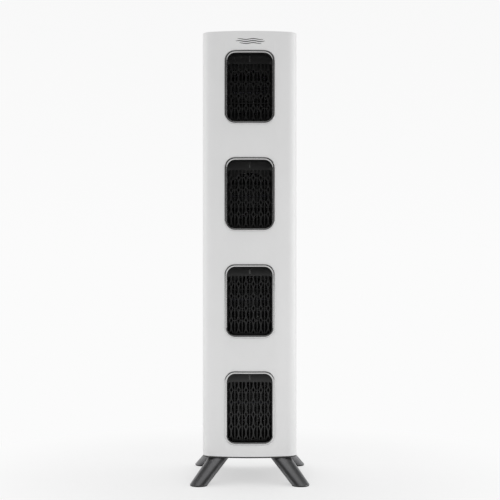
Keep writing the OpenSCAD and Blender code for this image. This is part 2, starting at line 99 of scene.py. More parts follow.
def adder(tree):
    """Function that adds a node to the tree; inputs go by name, or as i0, i1 by place."""

    def add(kind, props=(), **inputs):
        node = tree.nodes.new(kind)
        for key, value in dict(props).items():
            setattr(node, key, value)
        for key, value in inputs.items():
            by_place = key[0] == "i" and key[1:].isdigit()
            socket = node.inputs[int(key[1:]) if by_place else key.replace("_", " ")]
            if isinstance(value, bpy.types.NodeSocket):
                tree.links.new(value, socket)
            else:
                socket.default_value = value
        return node

    return add


def nodes_of(owner):
    """Clears a material's or world's nodes and returns the function that adds to them."""
    owner.use_nodes = True
    owner.node_tree.nodes.clear()
    return adder(owner.node_tree)


def ramp(node, *stops):
    """Sets a colour ramp's stops from (place, grey or colour)."""
    elements = node.color_ramp.elements
    while len(elements) > 1:
        elements.remove(elements[-1])
    for i, (place, colour) in enumerate(stops):
        stop = elements[0] if i == 0 else elements.new(place)
        stop.position = place
        colour = (colour,) * 3 if isinstance(colour, (int, float)) else colour
        stop.color = (*colour, 1)
    return node.outputs["Color"]


def softbox(name, place, aim, size, power, glossy=True):
    """Rectangular soft light at a place, turned to its aim; metres and watts."""
    light = bpy.data.lights.new(name, "AREA")
    light.shape = "RECTANGLE"
    light.size, light.size_y = size
    light.energy = power
    lamp = bpy.data.objects.new(name, light)
    lamp.location = place
    lamp.rotation_euler = (Vector(aim) - Vector(place)).to_track_quat("-Z", "Y").to_euler()
    lamp.visible_camera = False
    lamp.visible_glossy = glossy
    scene.collection.objects.link(lamp)


SMOOTH = {"interpolation_type": "SMOOTHSTEP"}
dark_wall, ambient_level = 0.09, 0.79

# The camera sees the backdrop, gloss sees dark walls with a pale band low behind, the rest is even.
world = bpy.data.worlds.new("studio")
scene.world = world
add = nodes_of(world)
place = add("ShaderNodeTexCoord")
height = add("ShaderNodeSeparateXYZ", i0=place.outputs["Generated"])
backdrop = add("ShaderNodeValToRGB", i0=height.outputs["Z"])
backdrop_colour = ramp(backdrop, (0.0, 0.965), (0.24, 0.94))
behind = add("ShaderNodeMapRange", SMOOTH, Value=height.outputs["Y"],
             From_Min=-0.45, From_Max=0.3, To_Min=0.0, To_Max=0.65)
low_only = add("ShaderNodeMapRange", SMOOTH, Value=height.outputs["Z"],
               From_Min=0.35, From_Max=0.6, To_Min=1.0, To_Max=0.0)
walls = add("ShaderNodeMath", {"operation": "MULTIPLY_ADD"},
            i0=behind.outputs[0], i1=low_only.outputs[0], i2=dark_wall)
ceiling = add("ShaderNodeMapRange", SMOOTH, Value=height.outputs["Z"],
              From_Min=0.8, From_Max=0.95, To_Min=0.0, To_Max=0.6)
around = add("ShaderNodeMath", {"operation": "MAXIMUM"}, i0=walls.outputs[0], i1=ceiling.outputs[0])
rays = add("ShaderNodeLightPath")
seen = add("ShaderNodeBackground", Color=backdrop_colour, Strength=1.0)
ambient = add("ShaderNodeBackground", Color=(1.0, 1.0, 1.0, 1), Strength=ambient_level)
mirrored = add("ShaderNodeBackground", Color=(1.0, 1.0, 1.0, 1), Strength=around.outputs[0])
unseen = add("ShaderNodeMixShader",
             i0=rays.outputs["Is Glossy Ray"], i1=ambient.outputs[0], i2=mirrored.outputs[0])
both = add("ShaderNodeMixShader", i0=rays.outputs["Is Camera Ray"], i1=unseen.outputs[0], i2=seen.outputs[0])
add("ShaderNodeOutputWorld", Surface=both.outputs[0])

# Matte paper by the feet, where the shadow lies, turning to an even glow further out. For the camera even the
# paper by the feet is six tenths glow: painted light that lightens the cast shadow there.
mesh = bpy.data.meshes.new("floor")
bm = bmesh.new()
bmesh.ops.create_circle(bm, cap_ends=True, segments=96, radius=30)
bm.to_mesh(mesh)
bm.free()
floor = bpy.data.objects.new("floor", mesh)
scene.collection.objects.link(floor)
paper = bpy.data.materials.new("floor")
add = nodes_of(paper)
place = add("ShaderNodeTexCoord")
away = add("ShaderNodeVectorMath", {"operation": "LENGTH"}, i0=place.outputs["Object"])
fade = add("ShaderNodeMapRange", SMOOTH, Value=away.outputs["Value"],
           From_Min=0.25, From_Max=0.8, To_Min=0.6, To_Max=1.0)
tone = add("ShaderNodeValToRGB", i0=fade.outputs[0])
tint = ramp(tone, (0.6, 0.9), (1.0, 0.965))
rays = add("ShaderNodeLightPath")
seen = add("ShaderNodeMath", {"operation": "MULTIPLY"}, i0=fade.outputs[0], i1=rays.outputs["Is Camera Ray"])
matte = add("ShaderNodeBsdfDiffuse", Color=(0.86, 0.86, 0.86, 1))
glow = add("ShaderNodeEmission", Color=tint, Strength=1.0)
both = add("ShaderNodeMixShader", i0=seen.outputs[0], i1=matte.outputs[0], i2=glow.outputs[0])
add("ShaderNodeOutputMaterial", Surface=both.outputs[0])
mesh.materials.append(paper)

softbox("overhead", (0, 0.9, 2.5), (0, 0.1, 0), (2.4, 1.8), 15, glossy=False)
softbox("left", (-1.7, 0.25, 0.75), (0, 0, 0.5), (0.8, 1.6), 5)
softbox("right", (1.7, 0.15, 0.75), (0, 0, 0.5), (0.8, 1.6), 8)
softbox("low_front", (0, -1.3, 0.12), (0, 0, 0.12), (1.6, 0.22), 1.05, glossy=False)

# ---------- outer shell ----------
# The white ABS column: a front shell with a bowed face and rounded corners, and a rear
# panel that meets it in a fine seam. Moulded with a satin spark texture, clipped together.


def shared(name, inputs, outputs):
    """New node group; returns it, its input node, and a function that adds a node."""
    group = bpy.data.node_groups.new(name, "ShaderNodeTree")
    for label, kind, value in inputs:
        socket = group.interface.new_socket(name=label, in_out="INPUT", socket_type=kind)
        if value is not None:
            socket.default_value = value
    for label, kind in outputs:
        group.interface.new_socket(name=label, in_out="OUTPUT", socket_type=kind)
    return group, group.nodes.new("NodeGroupInput"), adder(group)


FLOAT, VECTOR = "NodeSocketFloat", "NodeSocketVector"

# Fine moulded grain with soft broad patches: gives roughness, a mask for tone, and a normal.
grain, entry, add = shared(
    "moulded_grain",
    [("Grain", FLOAT, 1800.0), ("Depth", FLOAT, 0.1), ("Low", FLOAT, 0.38), ("High", FLOAT, 0.5)],
    [("Roughness", FLOAT), ("Tone", FLOAT), ("Normal", VECTOR)])
place = add("ShaderNodeTexCoord")
fine = add("ShaderNodeTexNoise", Vector=place.outputs["Object"], Scale=entry.outputs["Grain"], Detail=2.0)
broad = add("ShaderNodeTexNoise", Vector=place.outputs["Object"], Scale=9.0, Detail=4.0, Roughness=0.6)
rough = add("ShaderNodeMapRange", Value=broad.outputs[0], From_Min=0.3, From_Max=0.7,
            To_Min=entry.outputs["Low"], To_Max=entry.outputs["High"])
bump = add("ShaderNodeBump", Strength=entry.outputs["Depth"], Distance=0.0002, Height=fine.outputs[0])
add("NodeGroupOutput", Roughness=rough.outputs[0], Tone=broad.outputs[0], Normal=bump.outputs[0])

# Streaks along one axis: the vector squeezes space, small along the streaks.
brushed, entry, add = shared(
    "brushed_streaks",
    [("Squeeze", VECTOR, (900.0, 900.0, 12.0)), ("Depth", FLOAT, 0.15), ("Low", FLOAT, 0.25),
     ("High", FLOAT, 0.4)],
    [("Roughness", FLOAT), ("Tone", FLOAT), ("Normal", VECTOR)])
place = add("ShaderNodeTexCoord")
pressed = add("ShaderNodeVectorMath", {"operation": "MULTIPLY"},
              i0=place.outputs["Object"], i1=entry.outputs["Squeeze"])
streak = add("ShaderNodeTexNoise", Vector=pressed.outputs[0], Scale=1.0, Detail=3.0, Roughness=0.65)
rough = add("ShaderNodeMapRange", Value=streak.outputs[0], From_Min=0.3, From_Max=0.7,
            To_Min=entry.outputs["Low"], To_Max=entry.outputs["High"])
bump = add("ShaderNodeBump", Strength=entry.outputs["Depth"], Distance=0.0001, Height=streak.outputs[0])
add("NodeGroupOutput", Roughness=rough.outputs[0], Tone=streak.outputs[0], Normal=bump.outputs[0])


def shade(colour, factor):
    """The colour made lighter or darker by a factor."""
    return tuple(min(1.0, c * factor) for c in colour)


def finish(name, colour, metal=0.0, group=None, spread=0.06, coat=0.0, specular=0.5, **settings):
    """Principled material whose tone, roughness and normal come from a shared effect."""
    colour = (colour,) * 3 if isinstance(colour, (int, float)) else colour
    material = bpy.data.materials.new(name)
    add = nodes_of(material)
    effect = add("ShaderNodeGroup", {"node_tree": group or grain})
    for key, value in settings.items():
        effect.inputs[key.capitalize()].default_value = value
    tone = add("ShaderNodeValToRGB", i0=effect.outputs["Tone"])
    tint = ramp(tone, (0.3, shade(colour, 1 - spread)), (0.7, shade(colour, 1 + spread)))
    surface = add("ShaderNodeBsdfPrincipled", Base_Color=tint, Roughness=effect.outputs["Roughness"],
                  Normal=effect.outputs["Normal"], Metallic=metal, Coat_Weight=coat, Coat_Roughness=0.12,
                  Specular_IOR_Level=specular)
    add("ShaderNodeOutputMaterial", Surface=surface.outputs[0])
    material.diffuse_color = (*colour, 1)
    return material


def solid(name, bm, material, crease=32):
    """Object from a bmesh, smooth apart from edges sharper than crease degrees."""
    bmesh.ops.recalc_face_normals(bm, faces=bm.faces)
    for face in bm.faces:
        face.smooth = True
    for edge in bm.edges:
        edge.smooth = len(edge.link_faces) == 2 and edge.calc_face_angle(0) < math.radians(crease)
    mesh = bpy.data.meshes.new(name)
    bm.to_mesh(mesh)
    bm.free()
    mesh.materials.append(material)
    piece = bpy.data.objects.new(name, mesh)
    scene.collection.objects.link(piece)
    return piece


def fit(piece, *nodes, slot=None, body=None):
    """The piece rides on its nodes' body and stands for them; slot is not used."""
    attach(piece, body or body_of(frame["nodes"][nodes[0]])[0])
    if nodes:
        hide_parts(*nodes)
    return piece


def sharp_edges(bm, angle):
    """Edges whose two faces meet at more than angle degrees."""
    return [e for e in bm.edges if len(e.link_faces) == 2 and e.calc_face_angle(0) > math.radians(angle)]


def dressed(node, material, slot, edge=0.3, segments=2, angle=35, name=None):
    """A CAD node merged into one skin, its edges rounded by edge millimetres."""
    bm = bmesh.new()
    bm.from_mesh(frame["nodes"][node].data)
    bmesh.ops.remove_doubles(bm, verts=bm.verts, dist=2e-6)
    if edge:
        bmesh.ops.bevel(bm, geom=sharp_edges(bm, angle), offset=edge * 0.001, offset_type="OFFSET",
                        affect="EDGES", segments=segments, profile=0.5, material=-1, clamp_overlap=False)
    return fit(solid(name or node + "_skin", bm, material), node, slot=slot)


white = finish("shell_white", 0.79, spread=0.012, low=0.4, high=0.46, depth=0.1)
dressed("outer_shell", white, "shell_white", edge=0.5, segments=3)
dressed("rear_panel", white, "shell_white", edge=0.4, segments=3)

# ---------- mark on the front ----------
# A plain airflow sign under the top edge, three waves one above another.
# Printed on the shell in dark grey ink, so it has almost no thickness.

arc_y, front_r = 235, 340
mark_x, mark_top, row_pitch = 1.5, 1001.6, 4.6
swing, ripple, print_t = 1.0, 66, 0.04


def bowed(x, proud=0.0):
    """Y of the bowed front at x, in millimetres."""
    return arc_y - math.sqrt((front_r + proud) ** 2 - x * x)


ink = finish("mark_ink", 0.05, low=0.4, high=0.5, depth=0.02)
for row, (length, stroke) in enumerate([(58, 1.7), (66, 2.0), (50, 1.7)]):
    bm = bmesh.new()
    bmesh.ops.create_grid(bm, x_segments=72, y_segments=4, size=0.5)
    for v in bm.verts:
        along, across = v.co.x, v.co.y
        thin = stroke * max(0.12, 1 - (2 * along) ** 4) ** 0.5
        x = mark_x + along * length
        wave = swing * math.sin(along * length / ripple * 4 * math.pi + 0.4)
        v.co = mm(x, bowed(x, 0.06), mark_top - row_pitch * row + wave + across * thin)
    bmesh.ops.solidify(bm, geom=bm.faces[:], thickness=print_t * 0.001)
    fit(solid(f"mark_wave_{row + 1}", bm, ink), body="cabinet", slot="shell_white")

# ---------- top cap ----------
# White ABS lid set just inside the shell's rim, with a shallow recessed control panel.
# Same moulded finish as the shell, clipped in over a narrow shadow gap.

dressed("top_cap", white, "shell_white", edge=0.35)

# ---------- display ----------
# Smoked acrylic lens, glued in the panel recess, its edge polished round.
# Behind it glow a ring and a row of level bars, seen only from above.

lens_glass = finish("lens_dark", (0.010, 0.011, 0.013), spread=0.1, low=0.06, high=0.1, depth=0.0,
                    coat=0.6)
dressed("display_lens", lens_glass, "lens_dark", edge=0.5, segments=3)

glow = bpy.data.materials.new("display_glow")
add = nodes_of(glow)
place = add("ShaderNodeTexCoord")
cells = add("ShaderNodeTexNoise", Vector=place.outputs["Object"], Scale=400.0, Detail=1.0)
tone = add("ShaderNodeValToRGB", i0=cells.outputs[0])
tint = ramp(tone, (0.3, (0.25, 0.62, 0.75)), (0.7, (0.42, 0.85, 0.95)))
lit = add("ShaderNodeBsdfPrincipled", Base_Color=tint, Emission_Color=tint, Emission_Strength=0.9,
          Roughness=0.4)
add("ShaderNodeOutputMaterial", Surface=lit.outputs[0])


def box_mm(node):
    """Lowest and highest corner of a CAD node, in millimetres."""
    return [corner * 1000 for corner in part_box(node)]


lens_low, lens_high = box_mm("display_lens")
lens_top, lens_y = lens_high.z, (lens_low.y + lens_high.y) / 2
bar_w, bar_pitch, bar_x, shortest_bar, bar_step = 2.6, 4.6, 22, 4, 1.8
ring_r, ring_x, ring_widening, glow_t = 6.2, -30, 1.16, 0.06


def rounded_sheet(bm, width, height, radius, segments=8):
    """Flat sheet with rounded corners about the origin in XY, millimetres; returns its face."""
    corners = bmesh.ops.create_grid(bm, x_segments=1, y_segments=1, size=0.0005)["verts"]
    bmesh.ops.scale(bm, verts=corners, vec=(width, height, 1))
    bmesh.ops.bevel(bm, geom=corners, offset=radius * 0.001, offset_type="OFFSET", affect="VERTICES",
                    segments=segments, profile=0.5, material=-1, clamp_overlap=True)
    return max(bm.faces, key=lambda face: face.calc_area())


def points_of(made):
    """The vertices among what an operator made."""
    return [part for part in made if isinstance(part, bmesh.types.BMVert)]


def raised(bm, face, height):
    """Pushes a flat face up into a thin slab."""
    made = bmesh.ops.extrude_face_region(bm, geom=[face])["geom"]
    bmesh.ops.translate(bm, verts=points_of(made), vec=mm(0, 0, height))


for i in range(5):
    bm = bmesh.new()
    tall = shortest_bar + bar_step * i
    raised(bm, rounded_sheet(bm, bar_w, tall, 0.8, 4), glow_t)
    bmesh.ops.translate(bm, verts=bm.verts, vec=mm(bar_x + bar_pitch * i, lens_y - 5.6 + tall / 2, lens_top))
    fit(solid(f"display_bar_{i + 1}", bm, glow), body="cabinet", slot="lens_dark")

bm = bmesh.new()
bmesh.ops.create_circle(bm, cap_ends=False, segments=64, radius=ring_r * 0.001)
outer = bmesh.ops.extrude_edge_only(bm, edges=bm.edges[:])["geom"]
bmesh.ops.scale(bm, verts=points_of(outer), vec=(ring_widening, ring_widening, 1))
bmesh.ops.solidify(bm, geom=bm.faces[:], thickness=glow_t * 0.001)
bmesh.ops.translate(bm, verts=bm.verts, vec=mm(ring_x, lens_y, lens_top + glow_t))
fit(solid("display_ring", bm, glow), body="cabinet", slot="lens_dark")

# ---------- push buttons ----------
# Four round keys of white ABS with dished tops, each on a stem over its switch.
# Their signs are printed grey: power, fan, mode and timer.

key_white = finish("button_white", 0.74, spread=0.015, low=0.3, high=0.38, depth=0.06)
sign_grey = finish("sign_grey", 0.12, low=0.4, high=0.5, depth=0.02)


def lathed(profile, segments=64):
    """Solid of revolution about Z from (radius, height) points in millimetres."""
    bm = bmesh.new()
    points = [bm.verts.new(mm(r, 0, z)) for r, z in profile]
    edges = [bm.edges.new(pair) for pair in zip(points, points[1:])]
    bmesh.ops.spin(bm, geom=points + edges, cent=(0, 0, 0), axis=(0, 0, 1), angle=2 * math.pi,
                   steps=segments, use_merge=True)
    bmesh.ops.remove_doubles(bm, verts=bm.verts, dist=1e-7)
    return bm


def bar(bm, x, y, width, height, turn=0.0):
    """Adds a thin printed bar about (x, y), turned about the origin."""
    made = bmesh.ops.create_grid(bm, x_segments=1, y_segments=1, size=0.0005)["verts"]
    bmesh.ops.scale(bm, verts=made, vec=(width, height, 1))
    bmesh.ops.translate(bm, verts=made, vec=mm(x, y, 0))
    bmesh.ops.rotate(bm, verts=made, cent=(0, 0, 0), matrix=Matrix.Rotation(math.radians(turn), 3, "Z"))


def hoop(bm, radius, start, end, stroke=0.5, steps=40):
    """Adds part of a printed ring, from start to end degrees."""
    made = bmesh.ops.create_grid(bm, x_segments=steps, y_segments=1, size=0.5)["verts"]
    for v in made:
        a = math.radians(start + (v.co.x + 0.5) * (end - start))
        r = radius + v.co.y * stroke
        v.co = mm(r * math.cos(a), r * math.sin(a), 0)


key_r, stem_r, stem_h, flange_t, dish = 7.5, 2.5, 5.7, 1.8, 0.5
for kind in ["power", "speed", "mode", "timer"]:
    low, high = box_mm("button_" + kind)
    middle = (low + high) / 2
    foot, skirt, top = low.z, low.z + stem_h, high.z
    flange_r = (high.x - low.x) / 2
    stem = [(0, foot), (stem_r - 0.2, foot), (stem_r, foot + 0.2), (stem_r, skirt - flange_t)]
    flange = [(flange_r - 0.2, skirt - flange_t), (flange_r, skirt - flange_t + 0.2), (flange_r, skirt - 0.1),
              (flange_r - 0.1, skirt)]
    side = [(key_r, skirt), (key_r, top - 0.6), (key_r - 0.18, top - 0.18), (key_r - 0.6, top)]
    dished = [(key_r - 1.2, top - 0.05), (5.0, top - 0.3), (2.5, top - 0.45), (0, top - dish)]
    bm = lathed(stem + flange + side + dished)
    bmesh.ops.translate(bm, verts=bm.verts, vec=mm(middle.x, middle.y, 0))
    fit(solid(f"{kind}_key", bm, key_white, 40), "button_" + kind, slot="button_white")
    bm = bmesh.new()
    if kind == "power":
        hoop(bm, 2.6, 125, 415)
        bar(bm, 0, 2.5, 0.5, 2.4)
    elif kind == "speed":
        for turn in (0, 90, 180, 270):
            hoop(bm, 2.0, turn, turn + 48, 1.7)
        hoop(bm, 0.5, 0, 360, 0.5)
    elif kind == "mode":
        for y in (-1.5, 0, 1.5):
            bar(bm, 0, y, 5.2, 0.45)
        bar(bm, -1.2, 1.5, 0.6, 1.2)
        bar(bm, 1.2, 0, 0.6, 1.2)
        bar(bm, -0.4, -1.5, 0.6, 1.2)
    else:
        hoop(bm, 2.8, 0, 360)
        bar(bm, 0, 0.9, 0.45, 1.9)
        bar(bm, 0.7, 0, 1.5, 0.45)
    bmesh.ops.translate(bm, verts=bm.verts, vec=mm(middle.x, middle.y, 0))
    for v in bm.verts:
        out = (v.co.xy - mm(middle.x, middle.y)).length * 1000
        v.co.z = (top - 0.44 + 0.2 * min(1, out / 5) ** 2) * 0.001
    bmesh.ops.solidify(bm, geom=bm.faces[:], thickness=0.00003)
    fit(solid(f"{kind}_sign", bm, sign_grey), body="button_" + kind, slot="button_white")

# ---------- window rings ----------
# Chromed trim round each outlet: a rounded bead on the front with a neck into the opening.
# Moulded ABS, plated bright and pushed into the shell until the bead sits on it.

chrome = finish("ring_chrome", 0.66, metal=1.0, spread=0.02, low=0.1, high=0.16, depth=0.02)
window_w, window_h, window_r = 102.6, 154.8, 18.5
band, proud, neck, crown_steps = 6.1, 2.2, 5.0, 24
windows = [round(sum(corner.z for corner in box_mm(f"window_ring_{k}")) / 2, 3) for k in (1, 2, 3, 4)]


def bead_steps():
    """(inwards, outwards) moves from the bead's outer foot over its crown and into the neck."""
    path = [(0.0, 0.0)]
    for i in range(1, crown_steps + 1):
        a = math.pi * i / crown_steps
        path.append((band * (1 - math.cos(a)) / 2, proud * math.sin(a) ** 0.6))
    path[-1] = (band, 0.15)
    path += [(band + 0.02, -neck * 0.5), (band + 0.03, -neck)]
    return [(b[0] - a[0], b[1] - a[1]) for a, b in zip(path, path[1:])]


def window_bead(z):
    """The ring about the window middle at height z, bent to the bowed front."""
    bm = bmesh.new()
    face = rounded_sheet(bm, window_w + 2 * band, window_h + 2 * band, window_r + band, 20)
    level = [e for e in bm.edges
             if e.calc_length() > 0.05 and abs(e.verts[0].co.y - e.verts[1].co.y) < 1e-6]
    bmesh.ops.subdivide_edges(bm, edges=level, cuts=15)
    face = bmesh.ops.dissolve_faces(bm, faces=bm.faces[:], use_verts=False)["region"][0]
    for inwards, outwards in bead_steps():
        bmesh.ops.inset_region(bm, faces=[face], thickness=inwards * 0.001, depth=0,
                               use_even_offset=True, use_boundary=True)
        for v in face.verts:
            v.co.z += outwards * 0.001
    bmesh.ops.delete(bm, geom=[face], context="FACES_ONLY")
    for v in bm.verts:
        x, up, out = v.co.x * 1000, v.co.y * 1000, v.co.z * 1000
        v.co = mm(x, bowed(x) - out, z + up)
    return bm


for k, z in enumerate(windows, 1):
    fit(solid(f"window_bead_{k}", window_bead(z), chrome, 50), f"window_ring_{k}", slot="ring_chrome")

# ---------- grilles ----------
# One black moulding deep in each outlet: straight uprights with waved ribs between them.
# Glass-filled nylon with a low sheen, held between duct and well; a small tab at the top.

grille_black = finish("grille_black", 0.0015, spread=0.15, specular=0.6, low=0.26, high=0.36, depth=0.12,
                      grain=1500.0)
# The tab stands where a streak of reflected light shows at the top of each grille; its lighter black with a
# clear coat is a painted highlight for that streak.
tab_painted_highlight = finish("tab_painted_highlight", 0.02, spread=0.1, low=0.1, high=0.16, depth=0.0, coat=0.4)
tab_w, tab_h, tab_r, tab_t, tab_drop = 4.6, 13.5, 1.2, 2.2, 9.5
for k, z in enumerate(windows, 1):
    dressed(f"grille_{k}", grille_black, "grille_black", edge=0.45, segments=3)
    face_y = box_mm(f"grille_{k}")[0].y
    bm = bmesh.new()
    raised(bm, rounded_sheet(bm, tab_w, tab_h, tab_r, 6), tab_t)
    brow = [e for e in sharp_edges(bm, 60) if min(v.co.z for v in e.verts) > 0.001]
    bmesh.ops.bevel(bm, geom=brow, offset=0.0009, offset_type="OFFSET", affect="EDGES", segments=4,
                    profile=0.5, material=-1)
    bmesh.ops.rotate(bm, verts=bm.verts, cent=(0, 0, 0), matrix=Matrix.Rotation(math.pi / 2, 3, "X"))
    bmesh.ops.translate(bm, verts=bm.verts, vec=mm(0, face_y + 0.05, z + window_h / 2 - tab_drop))
    fit(solid(f"grille_tab_{k}", bm, tab_painted_highlight), body="cabinet", slot="grille_black")

# ---------- outlet ducts ----------
# Black rectangular ducts that carry the air from the fans to the windows.
# Injection moulded polypropylene with a screw flange and a well that meets the ring.

duct_black = finish("duct_black", 0.006, spread=0.15, specular=0.3, low=0.34, high=0.46, depth=0.12,
                    grain=1400.0)
for k in (1, 2, 3, 4):
    dressed(f"outlet_duct_{k}", duct_black, "duct_black", edge=0.35)
steel = finish("fastener_steel", 0.55, metal=1.0, group=brushed, spread=0.1, low=0.28, high=0.42,
               squeeze=(1500.0, 60.0, 1500.0))
dressed("duct_screws", steel, "fastener_steel", edge=0.2)

# ---------- air cells and lamps ----------
# An anodised aluminium honeycomb behind each grille, with a slim lamp along its back.
# The cell is pressed from sheet; the lamp is clear quartz with metal end caps.

# The cells' near-black tone is painted shade, keeping them as dark as the inside of the outlets when seen
# through the grilles.
cell_metal = finish("cell_aluminium", 0.02, metal=0.3, group=brushed, spread=0.15, low=0.35, high=0.5,
                    squeeze=(20.0, 900.0, 900.0))
for k in (1, 2, 3, 4):
    dressed(f"cell_frame_{k}", cell_metal, "cell_aluminium", edge=0.25)
# The clear quartz is shaded dark grey instead of left clear: painted shade that keeps the lamp as dark as the
# inside of the outlet around it.
quartz = bpy.data.materials.new("lamp_glass")
add = nodes_of(quartz)
place = add("ShaderNodeTexCoord")
mist = add("ShaderNodeTexNoise", Vector=place.outputs["Object"], Scale=60.0, Detail=3.0)
tone = add("ShaderNodeValToRGB", i0=mist.outputs[0])
tint = ramp(tone, (0.3, (0.05, 0.05, 0.07)), (0.7, (0.10, 0.10, 0.13)))
cloud = add("ShaderNodeMapRange", Value=mist.outputs[0], To_Min=0.05, To_Max=0.16)
tube = add("ShaderNodeBsdfPrincipled", Base_Color=tint, Roughness=cloud.outputs[0], Coat_Weight=0.2)
add("ShaderNodeOutputMaterial", Surface=tube.outputs[0])
dressed("uv_lamps", quartz, "lamp_glass", edge=0.2)

# ---------- chassis ----------
# The folded frame that everything bolts to: a bulkhead, two long flanges and shelves.
# Sheet steel, bent, spot welded and powder coated, screwed to the shell at the back; coloured near black as
# painted shade, so the inside seen through the grilles stays dark.

chassis_painted_shade = finish("chassis_painted_shade", 0.008, spread=0.15, low=0.45, high=0.6, depth=0.3, grain=1300.0)
dressed("chassis", chassis_painted_shade, "chassis_steel", edge=0.25)
dressed("chassis_screws", steel, "fastener_steel", edge=0.25)

# ---------- fans ----------
# Four square axial fans on the bulkhead; each rotor has nine swept, cambered blades.
# Glass-filled nylon frames and rotors, the motor in the hub, four screws a fan.

fan_black = finish("fan_frame_black", 0.02, spread=0.15, low=0.35, high=0.48, depth=0.12)
rotor_grey = finish("fan_rotor_grey", 0.035, spread=0.12, low=0.28, high=0.38, depth=0.06)
# The hub disc is near black: painted shade that keeps the hubs seen through the grilles as dark as the inside
# of the outlets.
hub_foil = finish("hub_foil", 0.03, metal=0.4, group=brushed, spread=0.08, low=0.3, high=0.4,
                  squeeze=(1200.0, 10.0, 40.0))
hub_r, tip_r, shaft_r, blade_count = 20.0, 54.6, 2.0, 9
shaft_end, blade_t, foil_r = 3.2, 1.3, 12.8


def blade_point(out, chord):
    """Point of a blade at out 0..1 from hub to tip and chord -0.5..0.5, about the fan's middle."""
    r = hub_r - 0.8 + out * (tip_r - hub_r + 0.8)
    pitch = math.radians(44 - 16 * out)
    length = 22 + 9 * out
    camber = 2.4 * (1 - 4 * chord * chord)
    across = chord * length * math.cos(pitch) + camber * math.sin(pitch)
    depth = -chord * length * math.sin(pitch) + camber * math.cos(pitch) - 1.2
    angle = across / r + 0.5 * out * out
    return mm(r * math.sin(angle), depth, r * math.cos(angle))


def on_axle(bm, front, z):
    """Turns a lathed piece so that its axis runs back from the fan's front, at height z."""
    bmesh.ops.rotate(bm, verts=bm.verts, cent=(0, 0, 0), matrix=Matrix.Rotation(-math.pi / 2, 3, "X"))
    bmesh.ops.translate(bm, verts=bm.verts, vec=mm(0, front, z))
    return bm


for k, z in enumerate(windows, 1):
    dressed(f"fan_frame_{k}", fan_black, "fan_frame_black", edge=0.5)
    low, high = box_mm(f"fan_rotor_{k}")
    front, rear = low.y, high.y - shaft_end
    bm = bmesh.new()
    bmesh.ops.create_grid(bm, x_segments=14, y_segments=10, size=0.5)
    for v in bm.verts:
        v.co = blade_point(v.co.y + 0.5, v.co.x)
    bmesh.ops.solidify(bm, geom=bm.faces[:], thickness=blade_t * 0.001)
    bmesh.ops.recalc_face_normals(bm, faces=bm.faces)
    bmesh.ops.bevel(bm, geom=sharp_edges(bm, 60), offset=0.0003, offset_type="OFFSET", affect="EDGES",
                    segments=2, profile=0.5, material=-1)
    first = bm.verts[:] + bm.edges[:] + bm.faces[:]
    for i in range(1, blade_count):
        twin = bmesh.ops.duplicate(bm, geom=first)["geom"]
        bmesh.ops.rotate(bm, verts=points_of(twin), cent=(0, 0, 0),
                         matrix=Matrix.Rotation(2 * math.pi * i / blade_count, 3, "Y"))
    bmesh.ops.translate(bm, verts=bm.verts, vec=mm(0, (front + rear) / 2, z))
    hub_h, axle_h = rear - front, high.y - front
    dome = [(0, 0), (13, 0), (hub_r - 2.2, 0.25), (hub_r - 0.6, 0.9), (hub_r, 2.4)]
    hub = on_axle(lathed(dome + [(hub_r, hub_h), (hub_r - 0.3, hub_h), (shaft_r, hub_h), (shaft_r, axle_h),
                                 (0, axle_h)]), front, z)
    turned = bpy.data.meshes.new("hub")
    hub.to_mesh(turned)
    hub.free()
    bm.from_mesh(turned)
    fit(solid(f"rotor_{k}", bm, rotor_grey), f"fan_rotor_{k}", slot="fan_rotor_grey")
    foil = on_axle(lathed([(0, -0.05), (foil_r - 0.2, -0.05), (foil_r, 0.05)]), front, z)
    fit(solid(f"hub_disc_{k}", foil, hub_foil), body=f"fan_rotor_{k}", slot="fan_rotor_grey")
dressed("fan_screws", steel, "fastener_steel", edge=0.25)

# ---------- filters ----------
# Two stacked cartridges in card frames with pleated paper, then carbon grids and a screen.
# The paper is melt-blown glass fibre, the carbon is loose black granules in plastic cells.

card = finish("cartridge_frame", 0.72, spread=0.04, low=0.6, high=0.75, depth=0.3, grain=900.0)
paper_white = finish("filter_media", (0.80, 0.80, 0.77), spread=0.05, low=0.85, high=0.95, depth=0.6,
                     grain=2600.0)
granules = finish("carbon_black", 0.02, spread=0.5, low=0.5, high=0.9, depth=0.9, grain=700.0)
dressed("filter_frames", card, "cartridge_frame", edge=0.5)
dressed("filter_pleats", paper_white, "filter_media", edge=0.3)
dressed("carbon_panels", granules, "carbon_black", edge=0.3)

mesh_grey = bpy.data.materials.new("screen_mesh")
add = nodes_of(mesh_grey)
place = add("ShaderNodeTexCoord")
warp = add("ShaderNodeTexWave", {"bands_direction": "X"}, Vector=place.outputs["Object"], Scale=260.0)
weft = add("ShaderNodeTexWave", {"bands_direction": "Z"}, Vector=place.outputs["Object"], Scale=260.0)
woven = add("ShaderNodeMath", {"operation": "MAXIMUM"}, i0=warp.outputs["Fac"], i1=weft.outputs["Fac"])
tone = add("ShaderNodeValToRGB", i0=woven.outputs[0])
tint = ramp(tone, (0.35, 0.02), (0.8, 0.16))
knit = add("ShaderNodeBump", Strength=0.7, Distance=0.0004, Height=woven.outputs[0])
thread = add("ShaderNodeBsdfPrincipled", Base_Color=tint, Roughness=0.55, Normal=knit.outputs[0])
add("ShaderNodeOutputMaterial", Surface=thread.outputs[0])
dressed("prefilter_screen", mesh_grey, "screen_mesh", edge=0.3)

# ---------- rear door ----------
# White ABS door with four fields of intake slots and a pull tab, on three steel hinges.
# It shuts on two magnets that hold plated strikes; pins run through all the knuckles.

